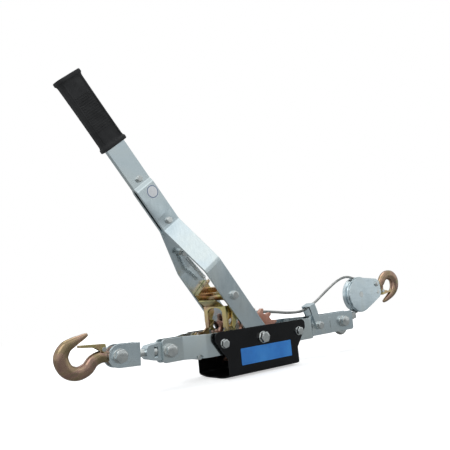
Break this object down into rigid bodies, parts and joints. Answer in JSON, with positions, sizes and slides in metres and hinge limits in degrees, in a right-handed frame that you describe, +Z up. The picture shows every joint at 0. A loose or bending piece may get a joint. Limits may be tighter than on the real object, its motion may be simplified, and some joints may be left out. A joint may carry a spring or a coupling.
{
  "type": "come along winch",
  "caption": "Hand cable puller with twin ratchet wheels, forked lever handle, drive and holding pawls, wire cable over a pulley block, and a safety hook at each end.",
  "frame": {"origin": "on the ground under the middle of the tool's length and width, where it stands on the bottom of its guard", "axes": "+X along the frame towards the pulley block, +Y across it towards the nuts, +Z up"},
  "size_m": [0.8119, 0.109, 0.5169],
  "materials": {
    "zinc_plate": "satin bright zinc",
    "yellow_zinc": "satin yellow zinc",
    "copper_zinc": "satin copper-toned zinc",
    "fastener": "satin",
    "black_sheet": "gloss black",
    "blue_label": "gloss",
    "white_label": "gloss",
    "grip_plastic": "matte",
    "cable_steel": "bright wire",
    "drum_steel": "satin"
  },
  "bodies": {
    "frame": {"frame_plate_near": "zinc_plate", "frame_plate_far": "zinc_plate", "axle_tube": "fastener", "main_bolt": "fastener", "handle_bush_near": "fastener", "handle_bush_far": "fastener", "spacers_left": "fastener", "spacers_right": "fastener", "guard_bolt_left": "fastener", "guard_bolt_right": "fastener", "guard": "black_sheet", "label_plate": "blue_label", "spring_post": "fastener", "cable_run": "cable_steel", "cable_eye": "cable_steel", "cable_ferrule": "fastener", "thimble": "fastener", "end_bolt": "fastener", "guide_strap": "zinc_plate", "strap_bolt": "fastener", "yoke_bolt": "fastener", "block_plate_near": "zinc_plate", "block_plate_far": "zinc_plate", "sheave_axle": "fastener", "swivel_block": "zinc_plate", "block_rivet_upper": "fastener", "block_rivet_lower": "fastener", "holding_pawl_spring": "fastener"},
    "drum_set": {"drum": "drum_steel", "ratchet_near": "copper_zinc", "ratchet_far": "copper_zinc", "cable_inner": "cable_steel", "cable_winding": "cable_steel"},
    "lever": {"handle_strip_near": "zinc_plate", "handle_strip_far": "zinc_plate", "handle_bolt_upper": "fastener", "handle_bolt_lower": "fastener", "handle_spacer": "fastener", "handle_sticker": "white_label", "grip": "grip_plastic", "drive_pawl_bolt": "fastener", "spring_bolt": "fastener", "drive_pawl_spring": "fastener"},
    "drive_dog": {"drive_pawl": "yellow_zinc"},
    "holding_dog": {"holding_pawl": "yellow_zinc"},
    "yoke": {"frame_yoke": "zinc_plate", "swivel_pin": "fastener"},
    "clevis": {"hook_clevis": "zinc_plate", "clevis_bolt": "fastener"},
    "left_hook": {"anchor_hook": "yellow_zinc", "anchor_latch_pin": "fastener"},
    "left_latch": {"anchor_latch": "yellow_zinc"},
    "pulley": {"sheave": "zinc_plate"},
    "right_hook": {"load_hook": "yellow_zinc", "load_latch_pin": "fastener"},
    "right_latch": {"load_latch": "yellow_zinc"}
  },
  "joints": [
    {"name": "lever_swing", "type": "hinge", "parent": "frame", "child": "lever", "pos_m": [-0.045, 0, 0.06], "axis": [0, 1, 0], "range_deg": [0, 67.5]},
    {"name": "drum_spin", "type": "hinge", "parent": "frame", "child": "drum_set", "pos_m": [-0.045, 0, 0.06], "axis": [0, 1, 0], "continuous": true},
    {"name": "drive_pawl_tilt", "type": "hinge", "parent": "lever", "child": "drive_dog", "pos_m": [-0.09949, 0, 0.13782], "axis": [0, 1, 0], "range_deg": [-9.5, 0], "deforming": ["drive_pawl_spring"]},
    {"name": "holding_pawl_tilt", "type": "hinge", "parent": "frame", "child": "holding_dog", "pos_m": [-0.131, 0, 0.06], "axis": [0, 1, 0], "range_deg": [-12, 0], "deforming": ["holding_pawl_spring"]},
    {"name": "yoke_tilt", "type": "hinge", "parent": "frame", "child": "yoke", "pos_m": [-0.216, 0, 0.06], "axis": [0, 1, 0], "range_deg": [-10, 30]},
    {"name": "left_swivel", "type": "hinge", "parent": "yoke", "child": "clevis", "pos_m": [-0.27093, 0, 0.06269], "axis": [0.9988, 0, -0.0488], "continuous": true},
    {"name": "left_hook_tilt", "type": "hinge", "parent": "clevis", "child": "left_hook", "pos_m": [-0.30589, 0, 0.0644], "axis": [0, 1, 0], "range_deg": [-20, 60]},
    {"name": "left_latch_open", "type": "hinge", "parent": "left_hook", "child": "left_latch", "pos_m": [-0.32926, 0, 0.07795], "axis": [0, 1, 0], "range_deg": [-32, 0], "stiffness_Nm_per_rad": 0.02, "springref_deg": 28.65},
    {"name": "sheave_spin", "type": "hinge", "parent": "frame", "child": "pulley", "pos_m": [0.267, 0, 0.108], "axis": [0, 1, 0], "continuous": true},
    {"name": "right_swivel", "type": "hinge", "parent": "frame", "child": "right_hook", "pos_m": [0.32116, 0, 0.11755], "axis": [0.9848, 0, 0.1736], "continuous": true},
    {"name": "right_latch_open", "type": "hinge", "parent": "right_hook", "child": "right_latch", "pos_m": [0.34498, 0, 0.10916], "axis": [0, 1, 0], "range_deg": [-32, 0], "stiffness_Nm_per_rad": 0.02, "springref_deg": 28.65}
  ]
}
